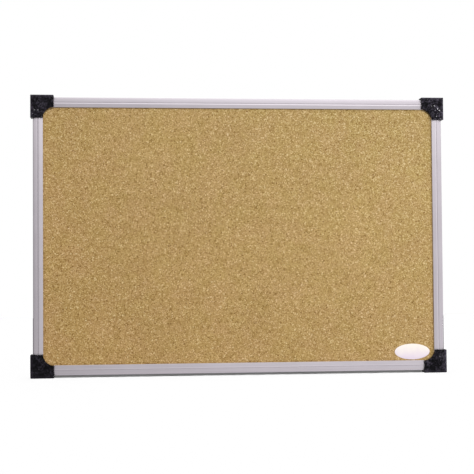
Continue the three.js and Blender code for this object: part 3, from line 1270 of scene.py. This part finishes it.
@dataclass(frozen=True)
class Lamp:
    """A soft rectangular lamp, aimed at a point; its spread is in degrees."""

    name: str
    place: Triple
    size: tuple[float, float]
    watts: float
    lights: Lit
    aim: Triple = CENTRE
    spread: float = 180.0

    def build(self, floor: bpy.types.Object) -> None:
        """Make the lamp, seen neither by the camera nor in the metal.

        Args:
            floor: The floor, which the lamp spares or lights alone.
        """
        light = bpy.data.lights.new(self.name, "AREA")
        light.shape = "RECTANGLE"
        light.size, light.size_y = self.size
        light.energy = self.watts
        light.spread = math.radians(self.spread)
        lamp = bpy.data.objects.new(self.name, light)
        lamp.location = self.place
        way = Vector(self.aim) - Vector(self.place)
        lamp.rotation_euler = way.to_track_quat("-Z", "Y").to_euler()
        lamp.visible_camera = False
        lamp.visible_glossy = False
        linked = bpy.data.collections.new(f"{self.name}_floor")
        linked.objects.link(floor)
        linked.collection_objects[0].light_linking.link_state = self.lights.value
        lamp.light_linking.receiver_collection = linked
        bpy.context.scene.collection.objects.link(lamp)


@dataclass(frozen=True)
class Rise:
    """A brightness that changes with the cosine of the angle to one direction."""

    towards: Triple
    span: Span

    def add(self, g: Graph, way: Socket) -> Socket:
        """Add the rise to a world.

        Args:
            g: The world's graph.
            way: The direction that is looked in.

        Returns:
            The brightness in that direction.
        """
        facing = g.node("VectorMath", way, Vector(self.towards).normalized())
        facing.operation = "DOT_PRODUCT"
        return g.spread(facing.outputs["Value"], self.span)


@dataclass(frozen=True)
class Glow:
    """Surroundings of one tint whose brightness is the product of some rises."""

    rises: tuple[Rise, ...]
    tint: Colour = WHITE

    def add(self, g: Graph) -> Socket:
        """Add the glow to a world.

        Args:
            g: The world's graph.

        Returns:
            The background's output.
        """
        way = g.node("TexCoord").outputs["Generated"]
        strength = reduce(g.times, [rise.add(g, way) for rise in self.rises])
        return g.node("Background", self.tint, strength).outputs[0]


@dataclass
class Studio:
    """Plain pale floor, soft light and the camera at the photograph's angle, in degrees."""

    image_px: int = 474
    sensor_mm: float = 36.0
    focal_px: float = 1200.0
    yaw: float = -5.66
    pitch: float = -1.94
    roll: float = -0.41
    distance: float = 1.7647
    slide_px: tuple[float, float] = (3.05, -1.5)
    floor_gap: float = 0.2 * MM
    floor_reach: float = 2.6
    floor_sides: int = 96
    fill: Glow = Glow((Rise((0.45, -0.5, 0.75), Span(-1.0, 1.0, 0.06, 0.40)),), (1.0, 0.97, 0.93, 1.0))
    mirrored: Glow = Glow((
        Rise(UP, Span(-0.4, 0.15, 0.89, 0.92)),
        Rise(UP, Span(0.32, 0.52, 1.0, 1.66)),
        Rise(RIGHT, Span(-0.9, 0.2, 0.46, 1.0)),
    ))
    lamps: tuple[Lamp, ...] = (
        Lamp("key", (0.4, -4.6, 2.9), (1.7, 0.9), 217.0, Lit.BOARD),
        Lamp("side_light", (1.3, -1.2, 0.1), (0.6, 0.5), 13.2, Lit.BOARD),
        Lamp("back_light", (0.5, 1.8, 1.0), (0.9, 0.6), 45.0, Lit.BOARD),
        Lamp("floor_light", (-0.185, -2.4, 3.6), (0.1, 5.4), 800.0, Lit.FLOOR, (-0.185, 0.0, 3.6)),
        Lamp("floor_back_light", (0.0, 1.5, 1.8), (3.0, 0.6), 220.0, Lit.FLOOR, (0.0, 1.5, 0.0), 68.0),
    )

    def build(self) -> None:
        """Set the stage round the board."""
        floor = self._floor()
        self._surroundings()
        for lamp in self.lamps:
            lamp.build(floor)
        self._camera()
        bpy.context.scene.view_settings.view_transform = "Standard"

    def _floor(self) -> bpy.types.Object:
        """Lay a round sheet of paper under the lower caps.

        Returns:
            The floor.
        """
        low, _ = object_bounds()
        net = bmesh.new()
        bmesh.ops.create_circle(net, cap_ends=True, segments=self.floor_sides, radius=self.floor_reach)
        mesh = bpy.data.meshes.new("studio_floor")
        net.to_mesh(mesh)
        net.free()
        mesh.materials.append(StudioPaper().material())
        floor = bpy.data.objects.new("studio_floor", mesh)
        floor.location = (0.0, 0.0, low.z - self.floor_gap)
        floor.visible_glossy = False
        floor.visible_diffuse = False
        floor.is_shadow_catcher = True
        bpy.context.scene.collection.objects.link(floor)
        floor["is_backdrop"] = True
        return floor

    def _surroundings(self) -> None:
        """Make surroundings that light the board, show in its metal and stand white behind it."""
        world = bpy.data.worlds.new("studio")
        bpy.context.scene.world = world
        world.use_nodes = True
        world.node_tree.nodes.clear()
        g = Graph(world.node_tree)
        rays = g.node("LightPath").outputs
        seen = g.node("Background", WHITE).outputs[0]
        shown = self.fill.add(g)
        for ray, other in (("Is Glossy Ray", self.mirrored.add(g)), ("Is Camera Ray", seen)):
            shown = g.node("MixShader", rays[ray], shown, other).outputs[0]
        g.node("OutputWorld", Surface=shown)

    def _camera(self) -> None:
        """Place the camera where the photograph was taken from."""
        yaw, pitch, roll = (math.radians(angle) for angle in (self.yaw, self.pitch, self.roll))
        level = math.cos(pitch)
        back = Vector((math.sin(yaw) * level, -math.cos(yaw) * level, math.sin(pitch)))
        right = (-back).cross(Vector(UP)).normalized()
        up = right.cross(-back)
        rolled_right = right * math.cos(roll) + up * math.sin(roll)
        rolled_up = up * math.cos(roll) - right * math.sin(roll)
        turn = Matrix((rolled_right, rolled_up, back)).transposed().to_4x4()
        data = bpy.data.cameras.new("camera")
        data.sensor_width = self.sensor_mm
        data.lens = self.sensor_mm * self.focal_px / self.image_px
        data.shift_x = -self.slide_px[0] / self.image_px
        data.shift_y = self.slide_px[1] / self.image_px
        camera = bpy.data.objects.new("camera", data)
        camera.matrix_world = Matrix.Translation(back * self.distance) @ turn
        bpy.context.scene.collection.objects.link(camera)
        bpy.context.scene.camera = camera


def main() -> None:
    """Build the looks in order and log how many pieces each part has."""
    logging.basicConfig(level=logging.INFO, format="%(name)s: %(message)s")
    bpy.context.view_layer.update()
    Studio().build()
    for part in (CorkPanel(), RailFrame(), CornerCaps(), BlankLabel(), WallHangers()):
        pieces = part.build()
        LOG.info("%s: %d pieces", type(part).__name__, len(pieces))


if __name__ == "__main__":
    main()
